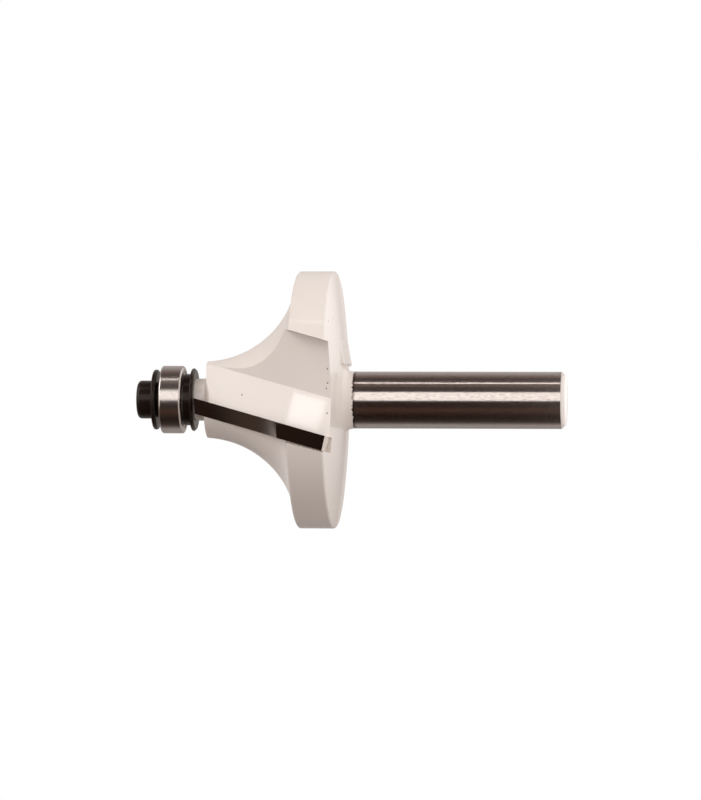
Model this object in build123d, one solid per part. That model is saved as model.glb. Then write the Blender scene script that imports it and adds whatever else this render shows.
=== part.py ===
from build123d import *
from math import acos, asin, cos, isclose, radians, sin, sqrt, tan
import os

# A rounding-over router bit: a steel body with two brazed carbide tips, and a ball-bearing guide
# held on its nose by a cap screw. Millimetres and degrees. The bit stands on its shank end with
# its axis on +Z, and cuts turning anticlockwise as seen from the nose.

# Shank
shank_diameter = 12.7
shank_length = 47.1
shank_end_chamfer = 1.0

# Body: hub, disc with a crowned back, cove and pilot stub, turned in one piece with the shank
hub_length = 2.05
hub_flare_radius = 3.05
back_slope_angle = 5.88
back_crown = 0.22
body_diameter = 57.2
rim_width = 7.9
rim_edge_break = 0.25
cove_radius = 21.9
nose_diameter = 17.0
nose_setback = 1.2
stub_diameter = 9.4
stub_length = 2.7
stub_root_radius = 0.9

# Carbide tips: sheared plates with a coved cutting edge that stands out of the body
shear_angle = 15.65
rake_lean = 1.9
rake_crossing = 1.95
tip_thickness = 3.28
tip_stand_out = 0.45
tip_cove_radius = 20.8
tip_rim_lead = 2.05
tip_relief = 0.38
tip_nose_overhang = 2.15
tip_end_relief = 0.15
tip_back_overhang = 0.65
tip_inner_reach = 5.0
tip_bury = 2.8
cove_edge_points = 9

# Gullets: one straight slot ahead of each tip, with a flat floor and a ramp
gullet_tilt = 27.6
gullet_width = 20.0
gullet_floor_offset = 3.35
gullet_floor_width = 8.2
gullet_ramp_angle = 15.7

# Guide bearing
bearing_diameter = 15.1
bearing_bore = 5.0
bearing_width = 5.0
bearing_edge_radius = 0.5
ball_diameter = 2.381
ball_count = 7
pitch_diameter = 10.2
ball_clearance = 0.02
raceway_conformity = 1.04
inner_land_diameter = 8.5
outer_land_diameter = 12.0
shield_thickness = 0.2
shield_recess = 0.15
shield_seat_diameter = 13.0
shield_gap = 0.15
cage_thickness = 0.2
cage_width = 1.1
cage_pocket_clearance = 0.05
rivet_diameter = 0.36
rivet_head_diameter = 0.6
rivet_head_height = 0.12

# Washers, spacer and cap screw
washer_bore_clearance = 0.1
rear_washer_diameter = 14.0
rear_washer_thickness = 0.9
rear_washer_bevel = 0.38
spacer_diameter = 11.5
spacer_thickness = 1.72
boss_height = 0.2
boss_inset = 0.35
front_washer_diameter = 13.4
front_washer_thickness = 1.0
front_boss_height = 0.85
washer_edge_radius = 0.38
screw_diameter = 5.0
screw_shank_clearance = 0.05
thread_diameter = 4.48
thread_clearance = 0.02
thread_engagement = 9.0
hole_spare_depth = 2.0
head_diameter = 8.5
head_height = 3.6
head_edge_radius = 0.9
hex_socket_width = 3.0
hex_socket_depth = 2.1
hex_socket_sides = 6

# Heights worked out along the axis, from the shank end up
shank_radius = shank_diameter / 2
body_radius = body_diameter / 2
nose_radius = nose_diameter / 2
stub_radius = stub_diameter / 2
hub_top = shank_length + hub_length
hub_radius = shank_radius + hub_flare_radius - sqrt(hub_flare_radius**2 - hub_length**2)
rim_back = hub_top + (body_radius - hub_radius) * tan(radians(back_slope_angle))
rim_front = rim_back + rim_width
cove_centre_radius = nose_radius + cove_radius
cove_centre_height = rim_front + sqrt(cove_radius**2 - (cove_centre_radius - body_radius)**2)
nose_height = cove_centre_height - nose_setback
stub_end = nose_height + stub_length
rear_washer_top = stub_end + rear_washer_thickness
bearing_bottom = rear_washer_top + spacer_thickness
bearing_middle = bearing_bottom + bearing_width / 2
bearing_top = bearing_bottom + bearing_width
front_washer_bottom = bearing_top + front_boss_height
head_bottom = front_washer_bottom + front_washer_thickness
far = body_diameter

# Bearing sizes that several pieces share
ball_radius = ball_diameter / 2
pitch_radius = pitch_diameter / 2
raceway_radius = ball_radius * raceway_conformity
raceway_shift = raceway_radius - ball_radius - ball_clearance
boss_radius = inner_land_diameter / 2 - boss_inset
washer_bore_radius = screw_diameter / 2 + washer_bore_clearance

# The rake plane of the first tip: its X points outward to the rim, its Y runs along the edge to
# the shank and its Z points ahead of the edge, into the gullet.
shear = radians(shear_angle)
lean = radians(rake_lean)
tilt = radians(gullet_tilt)
crossing_height = nose_height + rake_crossing
tip_length = (crossing_height - rim_back + tip_back_overhang) / cos(shear)
tip_rim_radius = body_radius + tip_stand_out
tip_centre_radius = nose_radius + tip_stand_out + tip_cove_radius
tip_cove_turn = acos((tip_centre_radius - tip_rim_radius) / tip_cove_radius)
tip_centre_height = rim_front + tip_rim_lead + tip_cove_radius * sin(tip_cove_turn)
rake_plane = Plane(
    origin=(0, 0, crossing_height),
    x_dir=(sin(lean), -cos(lean), 0),
    z_dir=(cos(shear) * cos(lean), cos(shear) * sin(lean), -sin(shear)),
)


def cylinder(radius, bottom, top):
    """A plain cylinder on the axis between two heights."""
    return Pos(0, 0, (bottom + top) / 2) * Cylinder(radius, top - bottom)


def round_the_axis(shape, count):
    """Copies of a shape, evenly spaced about the axis."""
    return [Rot(0, 0, 360 * number / count) * shape for number in range(count)]


def edges_at(shape, radius, height):
    """The circular edges of a shape at one radius and height."""
    return [
        edge
        for edge in shape.edges().filter_by(GeomType.CIRCLE)
        if isclose(edge.radius, radius) and isclose(edge.arc_center.Z, height)
    ]


def tip_outline(depth, relief, nose_end):
    """Face of a carbide tip at a depth behind its rake face, ground back by a relief."""

    def along(height):
        return (crossing_height - height + depth * sin(shear)) / cos(shear)

    def point(radius, place):
        offset = place * sin(shear) + depth * cos(shear)
        return (sqrt((radius - relief)**2 - offset**2), place)

    def cove_point(turn):
        height = tip_centre_height - tip_cove_radius * sin(turn)
        return point(tip_centre_radius - tip_cove_radius * cos(turn), along(height))

    nose_turn = asin((tip_centre_height - nose_end) / tip_cove_radius)
    turn_step = (tip_cove_turn - nose_turn) / (cove_edge_points - 1)
    cove = [cove_point(nose_turn + turn_step * number) for number in range(cove_edge_points)]
    rim_middle = point(tip_rim_radius, (cove[-1][1] + tip_length) / 2)
    rim_end = point(tip_rim_radius, tip_length)
    seat_corner, seat_end = seat_corners()
    nose_corner = (tip_inner_reach, cove[0][1])
    lines = [
        Line(nose_corner, cove[0]),
        Spline(*cove),
        ThreePointArc(cove[-1], rim_middle, rim_end),
        Line(rim_end, seat_end),
        Line(seat_end, seat_corner),
        Line(seat_corner, nose_corner),
    ]
    return rake_plane.offset(-depth) * make_face(Wire(lines))


def seat_corners():
    """The two inner corners of a tip's seat, on a line below the gullet's floor."""
    line_start = (gullet_floor_offset - tip_bury) / cos(tilt)
    corner = (tip_inner_reach, (tip_inner_reach - line_start) / tan(tilt))
    return corner, (line_start + tip_length * tan(tilt), tip_length)


def carbide_tip():
    """One brazed tip: a plate whose outer side is ground back behind the cutting edge."""
    front_end = nose_height + tip_nose_overhang
    front = tip_outline(0, 0, front_end)
    back = tip_outline(tip_thickness, tip_relief, front_end - tip_end_relief)
    return loft([front, back], ruled=True)


def tip_seat():
    """The pocket milled behind the rake plane for one tip."""
    corner, (end_reach, end) = seat_corners()
    outline = Polyline(
        (tip_inner_reach, -far),
        corner,
        (end_reach + far * tan(tilt), end + far),
        (far, end + far),
        (far, -far),
        close=True,
    )
    return extrude(rake_plane * make_face(outline), -tip_thickness)


def gullet():
    """The straight slot ahead of one tip, cut from the nose to the back of the disc."""
    slot_direction = rake_plane.y_dir * cos(tilt) + rake_plane.x_dir * sin(tilt)
    section = Plane(origin=rake_plane.origin, x_dir=rake_plane.z_dir, z_dir=slot_direction)
    ramp_rise = (gullet_width - gullet_floor_width) * tan(radians(gullet_ramp_angle))
    outline = Polyline(
        (0, gullet_floor_offset),
        (gullet_floor_width, gullet_floor_offset),
        (gullet_width, gullet_floor_offset + ramp_rise),
        (gullet_width, far),
        (0, far),
        close=True,
    )
    return extrude(section * make_face(outline), far, both=True)


def cutter_body():
    """Shank, hub, disc, cove and pilot stub in one piece, with gullets, seats and a tapped hole."""
    flare_end = asin(hub_length / hub_flare_radius)
    flare_middle = (
        shank_radius + hub_flare_radius * (1 - cos(flare_end / 2)),
        shank_length + hub_flare_radius * sin(flare_end / 2),
    )
    cove_end = (cove_centre_radius - sqrt(cove_radius**2 - nose_setback**2), nose_height)
    cove_start = asin((cove_centre_radius - body_radius) / cove_radius)
    cove_stop = asin(1) - asin(nose_setback / cove_radius)
    cove_turn = (cove_start + cove_stop) / 2
    cove_middle = (
        cove_centre_radius - cove_radius * sin(cove_turn),
        cove_centre_height - cove_radius * cos(cove_turn),
    )
    end_radius = shank_radius - shank_end_chamfer
    crown_middle = ((hub_radius + body_radius) / 2, (hub_top + rim_back) / 2 - back_crown)
    outline = [
        Line((0, 0), (end_radius, 0)),
        Line((end_radius, 0), (shank_radius, shank_end_chamfer)),
        Line((shank_radius, shank_end_chamfer), (shank_radius, shank_length)),
        ThreePointArc((shank_radius, shank_length), flare_middle, (hub_radius, hub_top)),
        ThreePointArc((hub_radius, hub_top), crown_middle, (body_radius, rim_back)),
        Line((body_radius, rim_back), (body_radius, rim_front)),
        ThreePointArc((body_radius, rim_front), cove_middle, cove_end),
        Line(cove_end, (0, nose_height)),
        Line((0, nose_height), (0, 0)),
    ]
    body = revolve(Plane.XZ * make_face(Wire(outline)), Axis.Z)
    for height in (rim_back, rim_front):
        body = chamfer(edges_at(body, body_radius, height), rim_edge_break)
    for slot in round_the_axis(gullet(), 2):
        body -= slot
    body += pilot_stub()
    for seat in round_the_axis(tip_seat(), 2):
        body -= seat
    thread_bottom = stub_end - thread_engagement - hole_spare_depth
    hole = cylinder(thread_diameter / 2 + thread_clearance, thread_bottom, stub_end)
    return body - hole


def pilot_stub():
    """The stub that carries the bearing, flared where it meets the nose."""
    foot = nose_height - stub_length
    root = stub_radius + stub_root_radius
    root_top = nose_height + stub_root_radius
    outline = [
        Line((0, foot), (stub_radius, foot)),
        Line((stub_radius, foot), (stub_radius, nose_height)),
        Line((stub_radius, nose_height), (root, nose_height)),
        RadiusArc((root, nose_height), (stub_radius, root_top), stub_root_radius),
        Line((stub_radius, root_top), (stub_radius, stub_end)),
        Line((stub_radius, stub_end), (0, stub_end)),
        Line((0, stub_end), (0, foot)),
    ]
    return revolve(Plane.XZ * make_face(Wire(outline)), Axis.Z)


def rear_washer():
    """Thick washer on the stub, bevelled towards the body."""
    radius = rear_washer_diameter / 2
    washer = cylinder(radius, stub_end, rear_washer_top)
    washer = chamfer(edges_at(washer, radius, stub_end), rear_washer_bevel)
    washer = fillet(edges_at(washer, radius, rear_washer_top), washer_edge_radius)
    return washer - cylinder(washer_bore_radius, stub_end, rear_washer_top)


def bearing_spacer():
    """Spacer whose low boss touches only the bearing's inner ring."""
    spacer = cylinder(spacer_diameter / 2, rear_washer_top, bearing_bottom - boss_height)
    spacer += cylinder(boss_radius, rear_washer_top, bearing_bottom)
    return spacer - cylinder(washer_bore_radius, rear_washer_top, bearing_bottom)


def front_washer():
    """Washer under the screw head, with a boss that clamps the inner ring."""
    radius = front_washer_diameter / 2
    washer = cylinder(radius, front_washer_bottom, head_bottom)
    washer = fillet(edges_at(washer, radius, front_washer_bottom), washer_edge_radius)
    washer = fillet(edges_at(washer, radius, head_bottom), washer_edge_radius)
    washer += cylinder(boss_radius, bearing_top, front_washer_bottom)
    return washer - cylinder(washer_bore_radius, bearing_top, head_bottom)


def cap_screw():
    """Low-head cap screw with a hexagon socket."""
    head_top = head_bottom + head_height
    screw = cylinder(head_diameter / 2, head_bottom, head_top)
    screw = fillet(edges_at(screw, head_diameter / 2, head_top), head_edge_radius)
    screw += cylinder(screw_diameter / 2 - screw_shank_clearance, stub_end, head_bottom)
    screw += cylinder(thread_diameter / 2, stub_end - thread_engagement, stub_end)
    hexagon = RegularPolygon(hex_socket_width / 2, hex_socket_sides, major_radius=False)
    return screw - extrude(Pos(0, 0, head_top) * hexagon, -hex_socket_depth)


def inner_ring():
    """Inner ring of the bearing, with its ball groove."""
    ring = cylinder(inner_land_diameter / 2, bearing_bottom, bearing_top)
    ring -= cylinder(bearing_bore / 2, bearing_bottom, bearing_top)
    groove = Torus(pitch_radius + raceway_shift, raceway_radius)
    return ring - Pos(0, 0, bearing_middle) * groove


def outer_ring():
    """Outer ring of the bearing, with its ball groove and a seat for each shield."""
    radius = bearing_diameter / 2
    ring = cylinder(radius, bearing_bottom, bearing_top)
    for height in (bearing_bottom, bearing_top):
        ring = fillet(edges_at(ring, radius, height), bearing_edge_radius)
    ring -= cylinder(outer_land_diameter / 2, bearing_bottom, bearing_top)
    seat_depth = shield_recess + shield_thickness
    ring -= cylinder(shield_seat_diameter / 2, bearing_bottom, bearing_bottom + seat_depth)
    ring -= cylinder(shield_seat_diameter / 2, bearing_top - seat_depth, bearing_top)
    groove = Torus(pitch_radius - raceway_shift, raceway_radius)
    return ring - Pos(0, 0, bearing_middle) * groove


def shield(bottom):
    """Thin steel shield pressed into one side of the outer ring."""
    top = bottom + shield_thickness
    inner = inner_land_diameter / 2 + shield_gap
    return cylinder(shield_seat_diameter / 2, bottom, top) - cylinder(inner, bottom, top)


def cage_half(side):
    """One pressed half of the ribbon cage: side is 1 above the balls' plane and -1 below it."""
    pocket_radius = ball_radius + cage_pocket_clearance
    inner, outer = pitch_radius - cage_width / 2, pitch_radius + cage_width / 2
    low, high = sorted((0, side * cage_thickness))
    half = cylinder(outer, low, high)
    ball_place = Pos(pitch_radius, 0, 0)
    for shell in round_the_axis(ball_place * Sphere(pocket_radius + cage_thickness), ball_count):
        half += shell
    for pocket in round_the_axis(ball_place * Sphere(pocket_radius), ball_count):
        half -= pocket
    low, high = sorted((0, side * bearing_width))
    half &= cylinder(outer, low, high) - cylinder(inner, low, high)
    rivet_place = Rot(0, 0, 180 / ball_count) * Pos(pitch_radius, 0, 0)
    hole = rivet_place * Cylinder(rivet_diameter / 2, bearing_width)
    for rivet_hole in round_the_axis(hole, ball_count):
        half -= rivet_hole
    return Pos(0, 0, bearing_middle) * half


def cage_rivets():
    """The rivets that hold the cage halves together, one between each pair of balls."""
    head_low = cage_thickness
    head_high = cage_thickness + rivet_head_height
    rivet = cylinder(rivet_diameter / 2, -head_low, head_low)
    rivet += cylinder(rivet_head_diameter / 2, head_low, head_high)
    rivet += cylinder(rivet_head_diameter / 2, -head_high, -head_low)
    place = Pos(0, 0, bearing_middle) * Rot(0, 0, 180 / ball_count) * Pos(pitch_radius, 0, 0)
    return Compound(children=round_the_axis(place * rivet, ball_count))


def bearing_ball():
    """The first ball of the bearing."""
    return Pos(pitch_radius, 0, bearing_middle) * Sphere(ball_radius)


pieces = {
    "cutter_body": cutter_body(),
    "rear_washer": rear_washer(),
    "bearing_spacer": bearing_spacer(),
    "front_washer": front_washer(),
    "cap_screw": cap_screw(),
    "bearing_inner_ring": inner_ring(),
    "bearing_outer_ring": outer_ring(),
    "rear_shield": shield(bearing_bottom + shield_recess),
    "front_shield": shield(bearing_top - shield_recess - shield_thickness),
    "cage_front_half": cage_half(1),
    "cage_rear_half": cage_half(-1),
    "cage_rivets": cage_rivets(),
}
for number, tip in enumerate(round_the_axis(carbide_tip(), 2), start=1):
    pieces[f"carbide_tip_{number}"] = tip
for number, ball in enumerate(round_the_axis(bearing_ball(), ball_count), start=1):
    pieces[f"ball_{number}"] = ball

os.makedirs("parts", exist_ok=True)
for name, piece in pieces.items():
    export_step(piece, f"parts/{name}.step")
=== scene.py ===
from math import cos, pi, radians, sin

import bpy
from mathutils import Matrix, Vector


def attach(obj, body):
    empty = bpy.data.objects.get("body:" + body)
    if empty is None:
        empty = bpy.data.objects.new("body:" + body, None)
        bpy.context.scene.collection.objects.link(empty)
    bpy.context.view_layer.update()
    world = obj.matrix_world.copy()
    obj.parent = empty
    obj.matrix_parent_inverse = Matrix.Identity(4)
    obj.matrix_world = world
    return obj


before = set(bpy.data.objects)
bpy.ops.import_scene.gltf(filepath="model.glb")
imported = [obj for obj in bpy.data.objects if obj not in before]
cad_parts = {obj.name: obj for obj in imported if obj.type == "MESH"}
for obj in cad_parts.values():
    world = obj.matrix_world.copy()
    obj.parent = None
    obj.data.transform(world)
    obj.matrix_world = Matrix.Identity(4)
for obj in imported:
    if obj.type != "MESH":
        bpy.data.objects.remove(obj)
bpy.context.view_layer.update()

# Cutter body. Shank, hub, disc, coved head and pilot stub are one turned steel piece with two
# milled gullets. It is sprayed with an off-white slip coat down to the hub, and the shank below
# is centreless-ground bare steel.
mm = 0.001


class Amount:
    """A number worked out over a surface. Arithmetic on it adds Math nodes to its finish."""

    def __init__(self, finish, socket):
        self.finish = finish
        self.socket = socket

    def __add__(self, other):
        return self.finish.math("ADD", self, other)

    def __sub__(self, other):
        return self.finish.math("SUBTRACT", self, other)

    def __mul__(self, other):
        return self.finish.math("MULTIPLY", self, other)

    def __truediv__(self, other):
        return self.finish.math("DIVIDE", self, other)

    def __rsub__(self, other):
        return self.finish.math("SUBTRACT", other, self)

    __radd__ = __add__
    __rmul__ = __mul__


class Finish:
    """One material, or the room's light, and its patterns, in millimetres on the piece."""

    def __init__(self, owner, place="Object"):
        self.owner = owner
        owner.use_nodes = True
        self.tree = owner.node_tree
        self.tree.nodes.clear()
        here = self.node("ShaderNodeTexCoord", output=place)
        self.place = self.node(
            "ShaderNodeVectorMath", {"operation": "SCALE"}, {"Vector": here, "Scale": 1 / mm}
        )
        self.x, self.y, self.z = (self.part(self.place, axis) for axis in ("X", "Y", "Z"))

    def node(self, kind, settings={}, sockets={}, output=0):
        """Adds one node with its settings, then its sockets, and gives back one of its outputs."""
        node = self.tree.nodes.new(kind)
        for name, value in settings.items():
            if name == "stops":
                self.set_stops(node.color_ramp, value)
            else:
                setattr(node, name, value)
        for name, value in sockets.items():
            socket = node.inputs[name]
            if isinstance(value, Amount):
                self.tree.links.new(value.socket, socket)
            else:
                socket.default_value = value
        return Amount(self, node.outputs[output]) if node.outputs else None

    def set_stops(self, ramp, stops):
        """Puts (place, colour) stops on a colour ramp, in rising order."""
        while len(ramp.elements) < len(stops):
            ramp.elements.new(1.0)
        for element, (place, colour) in zip(ramp.elements, stops):
            element.position = place
            element.color = (*colour, 1.0)

    def math(self, operation, *terms):
        return self.node("ShaderNodeMath", {"operation": operation}, dict(enumerate(terms)))

    def part(self, vector, axis):
        """The share of a vector along X, Y or Z."""
        return self.node("ShaderNodeSeparateXYZ", {}, {"Vector": vector}, output=axis)

    def from_axis(self):
        """The distance from the bit's axis."""
        return self.math("SQRT", self.x * self.x + self.y * self.y)

    def from_spot(self, spot):
        """The distance from one spot on the piece."""
        return self.node(
            "ShaderNodeVectorMath",
            {"operation": "DISTANCE"},
            {0: self.place, 1: spot},
            output="Value",
        )

    def noise(self, size, detail=2.0, roughness=0.5, place=None):
        """Cloudy noise from 0 to 1 whose blotches are about size millimetres across."""
        return self.node(
            "ShaderNodeTexNoise",
            {"noise_dimensions": "3D"},
            {
                "Vector": place or self.place,
                "Scale": 1.0 / size,
                "Detail": detail,
                "Roughness": roughness,
            },
        )

    def grain(self, across, along):
        """The place divided by the grain's length across the axis and along it."""
        return self.node(
            "ShaderNodeCombineXYZ",
            {},
            {"X": self.x / across, "Y": self.y / across, "Z": self.z / along},
        )

    def step(self, value, low, high):
        """0 below low, 1 above high and a soft rise between."""
        return self.node(
            "ShaderNodeMapRange",
            {"interpolation_type": "SMOOTHSTEP"},
            {"Value": value, "From Min": low, "From Max": high},
        )

    def near(self, value, target, reach):
        """1 where the value is at the target, falling softly to 0 a reach away."""
        return 1 - self.step(self.math("ABSOLUTE", value - target), 0, reach)

    def between(self, share, first, second):
        """A number between two numbers."""
        return first + share * (second - first)

    def mixed(self, share, first, second):
        """A colour between two colours."""
        colours = [c if isinstance(c, Amount) else (*c, 1.0) for c in (first, second)]
        return self.node(
            "ShaderNodeMix",
            {"data_type": "RGBA"},
            {0: share, 6: colours[0], 7: colours[1]},
            output=2,
        )

    def bump(self, height, rise):
        """A bumped normal from a height, where a height of 1 stands rise millimetres proud."""
        return self.node("ShaderNodeBump", {}, {"Height": height, "Distance": rise * mm})

    def done(self, **sockets):
        """Ends the finish with its shader. Names are the shader's sockets."""
        named = {name.replace("_", " "): value for name, value in sockets.items()}
        shader = self.node("ShaderNodeBsdfPrincipled", {}, named)
        self.node("ShaderNodeOutputMaterial", {}, {"Surface": shader})
        return self.owner


def dress(name, material):
    """Gives every slot of a CAD node one material."""
    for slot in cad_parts[name].material_slots:
        slot.material = material


# Places on the body, in millimetres as its patterns are. The braze seam climbs the rim beside each
# seat, from its foot at the rim's back. A pair of values is where a soft step starts and ends.
end_face_edge = (6.2, 6.3)
end_chamfer_top = (0.9, 1.05)
paint_edge = 47.05
paint_edge_blur = 0.03
paint_edge_raggedness = 1.6
stain_reach = 0.7
overspray_below_edge = 2.2
overspray_reach = 2.4
rim_back = 51.36
rim_front = 59.26
rim_radius = 28.6
rim_corner_reach = 0.4
seam_foot = -11.05
seam_slope = 0.257
seam_reach = 0.75
seam_inner_edge = (27.6, 28.3)
coat_step = 2.0
coat_relief = 0.0035
coat_pit_edge = (0.24, 0.38)
coat_pits = [
    (17.3, -18.9, 50.95),
    (18.0, -13.5, 50.55),
    (6.8, -20.1, 51.0),
    (3.7, -19.7, 51.0),
    (2.5, -19.4, 51.3),
    (1.1, -9.0, 71.2),
    (-2.9, -19.8, 51.1),
]
coat_white = (0.835, 0.780, 0.740)
coat_warm = (0.795, 0.725, 0.675)
coat_chip = (0.16, 0.11, 0.085)
braze_brown = (0.20, 0.15, 0.12)
ground_bright = (0.60, 0.55, 0.52)
ground_smoky = (0.47, 0.42, 0.39)
chamfer_painted_highlight = (0.75, 0.705, 0.68)
end_face_painted_highlight = (0.95, 0.91, 0.88)
paint_edge_stain = (0.12, 0.085, 0.07)


def chips_and_pits(body, radius):
    """1 where the coat is chipped off the rim's two edges or has a pit, and 0 elsewhere."""
    edge = body.near(radius, rim_radius, 0.35) * (
        body.near(body.z, rim_back, rim_corner_reach)
        + body.near(body.z, rim_front, rim_corner_reach)
    )
    gone = body.step(edge * body.noise(1.4, 4.0, 0.75), 0.34, 0.42)
    uneven = body.noise(0.25, 3.0, 0.7) * 0.25
    for spot in coat_pits:
        pit = 1 - body.step(body.from_spot(spot) + uneven, *coat_pit_edge)
        gone = body.math("MAXIMUM", gone, pit)
    return gone


def braze_seam(body, radius):
    """1 on the brown specks of braze that show through the coat beside each tip's seat."""
    side = 0 - body.math("SIGN", body.y)
    from_seat = body.x * side - (body.z - rim_back) * seam_slope
    seam = body.near(from_seat, seam_foot, seam_reach) * body.step(radius, *seam_inner_edge)
    return body.step(seam * body.noise(0.22, 2.0, 0.6), 0.30, 0.42)


def sprayed_coat(body, radius):
    """Colour, height and roughness of the slip coat."""
    cloud = body.noise(9.0, 3.0)
    peel = body.noise(0.55, 2.0)
    gone = chips_and_pits(body, radius)
    speck = body.step(body.noise(0.32, 1.0), 0.80, 0.84) * 0.35
    colour = body.mixed(cloud * 0.5, coat_white, coat_warm)
    colour = body.mixed(braze_seam(body, radius) * 0.85, colour, braze_brown)
    colour = body.mixed(body.math("MAXIMUM", gone, speck), colour, coat_chip)
    height = peel * 0.6 + coat_step - gone
    roughness = 0.36 + cloud * 0.10 + gone * 0.2
    return colour, height, roughness


def ground_shank(body, radius, ragged):
    """Colour, height and roughness of the bare shank, with the paint edge's stain and a painted
    highlight on its chamfer and end face.
    """
    streak = body.noise(1.0, 3.0, 0.65, body.grain(0.25, 1.1))
    rings = body.noise(1.0, 2.0, 0.6, body.grain(2.5, 0.05))
    grit = body.noise(0.30, 3.0, 0.75)
    colour = body.mixed(body.step(streak, 0.35, 0.75), ground_bright, ground_smoky)
    stain = body.near(body.z + ragged * 0.4, paint_edge - 0.1, stain_reach)
    colour = body.mixed(stain * 0.8, colour, paint_edge_stain)
    # Painted highlight: the chamfer and the end face are lighter than the ground steel to stand in
    # for the light they catch, the end face partly also for its own machined finish.
    colour = body.mixed(1 - body.step(body.z, *end_chamfer_top), colour, chamfer_painted_highlight)
    off_face = body.step(radius, *end_face_edge) + body.step(body.z, 0.05, 0.2)
    colour = body.mixed(body.math("MINIMUM", off_face, 1.0), end_face_painted_highlight, colour)
    overspray = body.step(body.noise(0.8, 3.0, 0.7), 0.55, 0.75)
    overspray = overspray * body.near(
        body.z, paint_edge - overspray_below_edge, overspray_reach
    )
    height = streak * 0.4 + rings * 0.3 + grit * 0.6 + overspray
    roughness = 0.085 + grit * 0.11
    return colour, height, roughness


def coated_steel():
    """The coat down to a ragged paint edge, and the ground shank below it."""
    body = Finish(bpy.data.materials.new("coated_and_ground_steel"))
    radius = body.from_axis()
    ragged = (body.noise(0.9, 3.0, 0.7) - 0.5) * paint_edge_raggedness
    coated = body.step(
        body.z + ragged, paint_edge - paint_edge_blur, paint_edge + paint_edge_blur
    )
    coat, coat_height, coat_roughness = sprayed_coat(body, radius)
    steel, steel_height, steel_roughness = ground_shank(body, radius, ragged)
    height = body.between(coated, steel_height, coat_height)
    return body.done(
        Base_Color=body.mixed(coated, steel, coat),
        Roughness=body.between(coated, steel_roughness, coat_roughness),
        Metallic=1 - coated,
        Normal=body.bump(height, coat_relief),
        Coat_Weight=coated * 0.5,
        Coat_Roughness=0.025,
    )


slip_coat = coated_steel()
dress("cutter_body", slip_coat)

# Braze pad. Braze that ran out of the second tip's seat and lies on the disc's back, sprayed over
# with the slip coat. It stands proud along the seat and thins away from it.
pad_middle = (10.4, 5.7)
pad_width = 6.0
pad_length = 24.4
pad_proud = 0.85
pad_root = 0.45
pad_thinning = 0.6
pad_edge_radius = 0.42
pad_lump_size = 1.6
pad_lump_height = 0.12
below_disc = 40.0


def braze_pad():
    """A grid laid from below onto the disc's back, sunk towards its thin side and given a skin."""
    bpy.ops.object.select_all(action="DESELECT")
    bpy.ops.mesh.primitive_grid_add(
        x_subdivisions=12,
        y_subdivisions=60,
        size=mm,
        location=(pad_middle[0] * mm, pad_middle[1] * mm, below_disc * mm),
    )
    pad = bpy.context.active_object
    pad.name = "braze_pad"
    pad.scale = (pad_width, pad_length, 1)
    bpy.ops.object.transform_apply(location=True, rotation=True, scale=True)
    wrap = pad.modifiers.new("onto_the_back", "SHRINKWRAP")
    wrap.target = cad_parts["cutter_body"]
    wrap.wrap_method = "PROJECT"
    wrap.use_project_z = True
    bpy.ops.object.modifier_apply(modifier=wrap.name)
    seat_side = (pad_middle[0] - pad_width / 2) * mm
    for vertex in pad.data.vertices:
        share = (vertex.co.x - seat_side) / (pad_width * mm)
        vertex.co.z += (pad_root + pad_proud * share**pad_thinning) * mm
    skin = pad.modifiers.new("thickness", "SOLIDIFY")
    skin.thickness = (pad_proud + pad_root) * mm
    skin.offset = -1
    bevel = pad.modifiers.new("soft_edges", "BEVEL")
    bevel.width = pad_edge_radius * mm
    bevel.segments = 3
    bevel.angle_limit = radians(40)
    lumps = bpy.data.textures.new("braze_lumps", "CLOUDS")
    lumps.noise_scale = pad_lump_size * mm
    wavy = pad.modifiers.new("lumps", "DISPLACE")
    wavy.texture = lumps
    wavy.strength = pad_lump_height * mm
    wavy.mid_level = 0.5
    for modifier in (skin, bevel, wavy):
        bpy.ops.object.modifier_apply(modifier=modifier.name)
    bpy.ops.object.mode_set(mode="EDIT")
    bpy.ops.mesh.select_all(action="SELECT")
    bpy.ops.mesh.normals_make_consistent(inside=False)
    bpy.ops.object.mode_set(mode="OBJECT")
    bpy.ops.object.shade_smooth()
    pad.data.materials.append(slip_coat)
    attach(pad, "cutter")


braze_pad()

# Carbide tips. Two sintered plates brazed in the seats, then diamond-ground to the cove, so each
# is dark and polished with fine grinding lines. The slip coat covers its end at the disc's back.
tip_inner_end_edge = (25.0, 25.2)
tip_inner_end_top = (51.5, 51.7)
carbide_dark = (0.150, 0.120, 0.102)
carbide_light = (0.185, 0.150, 0.130)


def carbide():
    tip = Finish(bpy.data.materials.new("ground_carbide"))
    grinding = tip.noise(1.0, 2.0, 0.6, tip.grain(0.9, 0.06))
    cloud = tip.noise(3.0, 2.0)
    sinter = tip.noise(0.12, 2.0, 0.7)
    facing_back = 0 - tip.part(tip.node("ShaderNodeTexCoord", output="Normal"), "Z")
    outside = tip.step(tip.from_axis(), *tip_inner_end_edge)
    above = tip.step(tip.z, *tip_inner_end_top)
    inner_end = (1 - outside) * (1 - above)
    sprayed = tip.math("MAXIMUM", tip.step(facing_back, 0.70, 0.85), inner_end)
    bare = tip.mixed(cloud * 0.7 + sinter * 0.3, carbide_dark, carbide_light)
    return tip.done(
        Base_Color=tip.mixed(sprayed, bare, coat_warm),
        Roughness=tip.between(sprayed, 0.16 + grinding * 0.10, 0.42),
        Metallic=1 - sprayed,
        Normal=tip.bump(grinding + sinter * 0.4, 0.002),
    )


tip_carbide = carbide()
for name in ("carbide_tip_1", "carbide_tip_2"):
    dress(name, tip_carbide)

# Washers, spacer and cap screw. Turned steel with a black oxide finish, lightly oiled, clamped
# together on the stub by the screw.
oxide_black = (0.010, 0.0060, 0.0045)
oxide_brown = (0.020, 0.0130, 0.0100)
oxide_worn = (0.05, 0.036, 0.03)
oil_tint = (1.0, 0.86, 0.78, 1.0)


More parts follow.
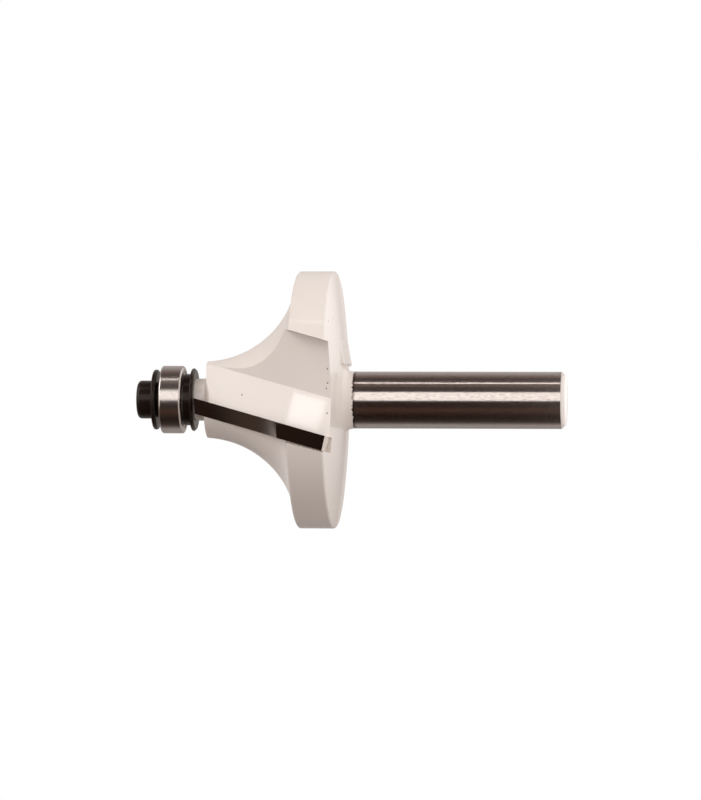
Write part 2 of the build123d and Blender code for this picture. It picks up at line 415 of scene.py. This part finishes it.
def black_steel():
    oxide = Finish(bpy.data.materials.new("black_oxide_steel"))
    turning = oxide.noise(1.0, 2.0, 0.6, oxide.grain(1.5, 0.08))
    mottle = oxide.noise(1.2, 3.0, 0.6)
    worn = oxide.step(oxide.noise(0.35, 3.0, 0.7), 0.62, 0.80)
    whole = oxide.mixed(mottle, oxide_black, oxide_brown)
    return oxide.done(
        Base_Color=oxide.mixed(worn, whole, oxide_worn),
        Roughness=0.20 + mottle * 0.10 + worn * 0.12,
        Metallic=0.0,
        Specular_IOR_Level=0.24,
        Specular_Tint=oil_tint,
        Normal=oxide.bump(turning + mottle * 0.4, 0.0016),
    )


screw_black = black_steel()
for name in ("rear_washer", "bearing_spacer", "front_washer", "cap_screw"):
    dress(name, screw_black)

# Guide bearing. Hardened rings and balls are ground and polished all over. The shields, and the
# cage with its rivets, are pressed from thin sheet and keep a duller, cloudy skin.
bearing_bright = (0.60, 0.555, 0.53)
bearing_smoky = (0.47, 0.43, 0.41)
sheet_bright = (0.45, 0.42, 0.40)
sheet_dull = (0.36, 0.33, 0.31)


def bearing_steel():
    ring = Finish(bpy.data.materials.new("polished_bearing_steel"))
    lines = ring.noise(1.0, 2.0, 0.6, ring.grain(3.0, 0.05))
    grit = ring.noise(0.28, 3.0, 0.75)
    return ring.done(
        Base_Color=ring.mixed(ring.step(grit, 0.4, 0.7), bearing_bright, bearing_smoky),
        Roughness=0.13 + grit * 0.14,
        Metallic=1.0,
        Normal=ring.bump(lines * 0.4 + grit * 0.6, 0.003),
    )


def pressed_steel():
    sheet = Finish(bpy.data.materials.new("pressed_sheet_steel"))
    cloud = sheet.noise(0.8, 3.0)
    return sheet.done(
        Base_Color=sheet.mixed(cloud, sheet_bright, sheet_dull),
        Roughness=0.28 + cloud * 0.12,
        Metallic=1.0,
        Normal=sheet.bump(cloud, 0.003),
    )


ring_steel = bearing_steel()
balls = [f"ball_{number}" for number in range(1, 8)]
for name in ("bearing_inner_ring", "bearing_outer_ring", *balls):
    dress(name, ring_steel)

sheet_steel = pressed_steel()
for name in ("rear_shield", "front_shield", "cage_front_half", "cage_rear_half", "cage_rivets"):
    dress(name, sheet_steel)

# Floor. A wide matt disc just under the standing bit. It carries a painted glow that stands in for
# light, strongest near the shank and on the +X side, with a darker base colour where the glow is
# strong and a painted shadow round the shank's foot. It fades out far away and can't be seen from
# below.
floor_radius = 1600.0
floor_drop = 0.2
painted_foot_shadow = (5.9, 6.5)
painted_foot_shadow_end = (7, 55)
glow_fade = (60, 380)
glow_side = (-60, 40)
floor_fade = (550, 1150)
floor_strength = 1.24
floor_near = (0.16, 0.155, 0.15)
floor_far = (0.42, 0.41, 0.405)
glow_near = (1.0, 0.97, 0.95)
glow_far = (0.17, 0.145, 0.13)


def floor():
    bpy.ops.object.select_all(action="DESELECT")
    bpy.ops.mesh.primitive_circle_add(
        vertices=96,
        radius=floor_radius * mm,
        fill_type="NGON",
        location=(0, 0, -floor_drop * mm),
    )
    ground = bpy.context.active_object
    ground.name = "studio_floor"
    paint = Finish(bpy.data.materials.new("floor_paint"))
    away = paint.from_axis()
    # Painted shadow round the shank's foot, dimming the painted glow that stands in for light.
    shade = paint.step(away, *painted_foot_shadow) * (1 - paint.step(away, *painted_foot_shadow_end))
    one_sided = 0.15 + 0.85 * paint.step(paint.x, *glow_side)
    glow = (1 - paint.step(away, *glow_fade)) * one_sided * (1 - shade * 0.5)
    shader = paint.node(
        "ShaderNodeBsdfPrincipled",
        {},
        {
            "Base Color": paint.mixed(glow, floor_far, floor_near),
            "Roughness": 0.8,
            "Specular IOR Level": 0.0,
            "Emission Color": paint.mixed(glow, glow_far, glow_near),
            "Emission Strength": floor_strength,
        },
    )
    clear = paint.node("ShaderNodeBsdfTransparent")
    below = paint.node("ShaderNodeNewGeometry", output="Backfacing")
    unseen = paint.math("MAXIMUM", below, paint.step(away, *floor_fade))
    both = paint.node("ShaderNodeMixShader", {}, {0: unseen, 1: shader, 2: clear})
    paint.node("ShaderNodeOutputMaterial", {}, {"Surface": both})
    ground.data.materials.append(paint.owner)


floor()

# Lights. A long soft box in front of the bit and a thin strip beside it give the shank its bright
# bands. Three boxes light the coved nose, and a small window shows in the gullet's flat.
aim = Vector((0.0, 0.0, 0.04802))
light_colour = (1.0, 0.97, 0.95)


def softbox(name, toward, distance, width, height, radiance, turned=0.0):
    """A soft rectangular light, in metres, aimed at the bit. Its width runs along the axis."""
    lamp = bpy.data.lights.new(name, "AREA")
    lamp.shape = "RECTANGLE"
    lamp.size = width
    lamp.size_y = height
    lamp.energy = radiance * pi * width * height
    lamp.color = light_colour
    box = bpy.data.objects.new(name, lamp)
    bpy.context.scene.collection.objects.link(box)
    back = Vector(toward).normalized()
    along = (Vector((0, 0, 1)) - back * back.z).normalized()
    turn = Matrix((along, back.cross(along), back)).transposed()
    turn = turn @ Matrix.Rotation(radians(turned), 3, "Z")
    box.matrix_world = Matrix.Translation(aim + back * distance) @ turn.to_4x4()
    box.visible_camera = False


def around(angle):
    """The level direction at an angle from the camera's side round towards +X."""
    return (sin(radians(angle)), -cos(radians(angle)), 0.0)


softbox("front_box", around(15.2), 1.3, 1.6, 0.80, 1.55)
softbox("top_strip", around(73), 1.0, 1.4, 0.05, 3.2)
softbox("nose_box", (0.35, -0.43, 0.81), 0.9, 0.5, 0.5, 2.3)
softbox("fill_box", (-0.10, -0.72, 0.68), 1.0, 0.5, 0.5, 1.3)
softbox("upper_box", (0.70, -0.24, 0.67), 1.0, 0.6, 0.6, 2.1)
softbox("window", (0.2401, -0.4838, 0.8416), 0.5143, 0.0109, 0.0102, 9.5, turned=-28)

# Room. White where the camera sees it. What the steel mirrors is a ring of walls round the bit,
# each with its angle towards +X, its level and its tint, and a ceiling that is dimmer towards -X.
dark = (1.0, 0.52, 0.36)
dim = (1.0, 0.76, 0.68)
light = (1.0, 0.92, 0.88)
white = (1.0, 1.0, 1.0)
ceiling_dim = (0.22, 0.17, 0.14)
ceiling_light = (0.62, 0.58, 0.55)
ceiling_side = (-350, 350)
ceiling_start = (450, 900)
walls = [
    (-180, 0.70, light),
    (-151, 0.36, light),
    (-135, 0.45, light),
    (-120, 0.44, light),
    (-106, 0.17, dim),
    (-96, 0.055, dim),
    (-75, 0.022, dark),
    (-60, 0.030, dark),
    (-48, 0.065, dark),
    (-38, 0.080, dark),
    (-26, 0.034, dark),
    (-10, 0.030, dark),
    (2, 0.10, dim),
    (40, 0.075, dim),
    (50, 0.075, dim),
    (62, 0.21, dim),
    (80, 0.15, dim),
    (94, 0.085, dim),
    (113, 0.28, dim),
    (125, 0.42, light),
    (140, 0.54, light),
    (157, 0.60, light),
    (180, 0.70, light),
]


def white_room():
    world = bpy.data.worlds.new("white_room")
    bpy.context.scene.world = world
    room = Finish(world, "Generated")
    turn = room.math("ARCTAN2", room.x, 0 - room.y) / (2 * pi) + 0.5
    stops = [
        (angle / 360 + 0.5, tuple(level * share for share in tint))
        for angle, level, tint in walls
    ]
    ring = room.node("ShaderNodeValToRGB", {"stops": stops}, {"Fac": turn})
    ceiling = room.mixed(room.step(room.x, *ceiling_side), ceiling_dim, ceiling_light)
    steep = room.step(room.math("ABSOLUTE", room.z), *ceiling_start)
    seen = room.node("ShaderNodeLightPath", output="Is Camera Ray")
    shown = room.mixed(seen, room.mixed(steep, ring, ceiling), white)
    glow = room.node("ShaderNodeBackground", {}, {"Color": shown, "Strength": 1.0})
    room.node("ShaderNodeOutputWorld", {}, {"Surface": glow})


white_room()

# Camera. A long lens aimed at the bit's middle from 1 m away, a few degrees towards the shank end.
# +X is up in the picture, so the standing bit lies along it with its nose to the left.
yaw = radians(5.9)
roll = radians(0.13)
camera_distance = 1.0006
focal_pixels = 4500
picture_pixels = 800
sensor_width = 36.0

lens = bpy.data.cameras.new("camera")
lens.sensor_width = sensor_width
lens.lens = sensor_width * focal_pixels / picture_pixels
lens.clip_start = 0.01
lens.clip_end = 20.0
camera = bpy.data.objects.new("camera", lens)
bpy.context.scene.collection.objects.link(camera)
right = Vector((0.0, sin(yaw), -cos(yaw)))
upward = Vector((1.0, 0.0, 0.0))
back = Vector((0.0, -cos(yaw), -sin(yaw)))
turn = Matrix((right, upward, back)).transposed() @ Matrix.Rotation(roll, 3, "Z")
camera.matrix_world = Matrix.Translation(aim + back * camera_distance) @ turn.to_4x4()
bpy.context.scene.camera = camera
bpy.context.scene.view_settings.view_transform = "Standard"
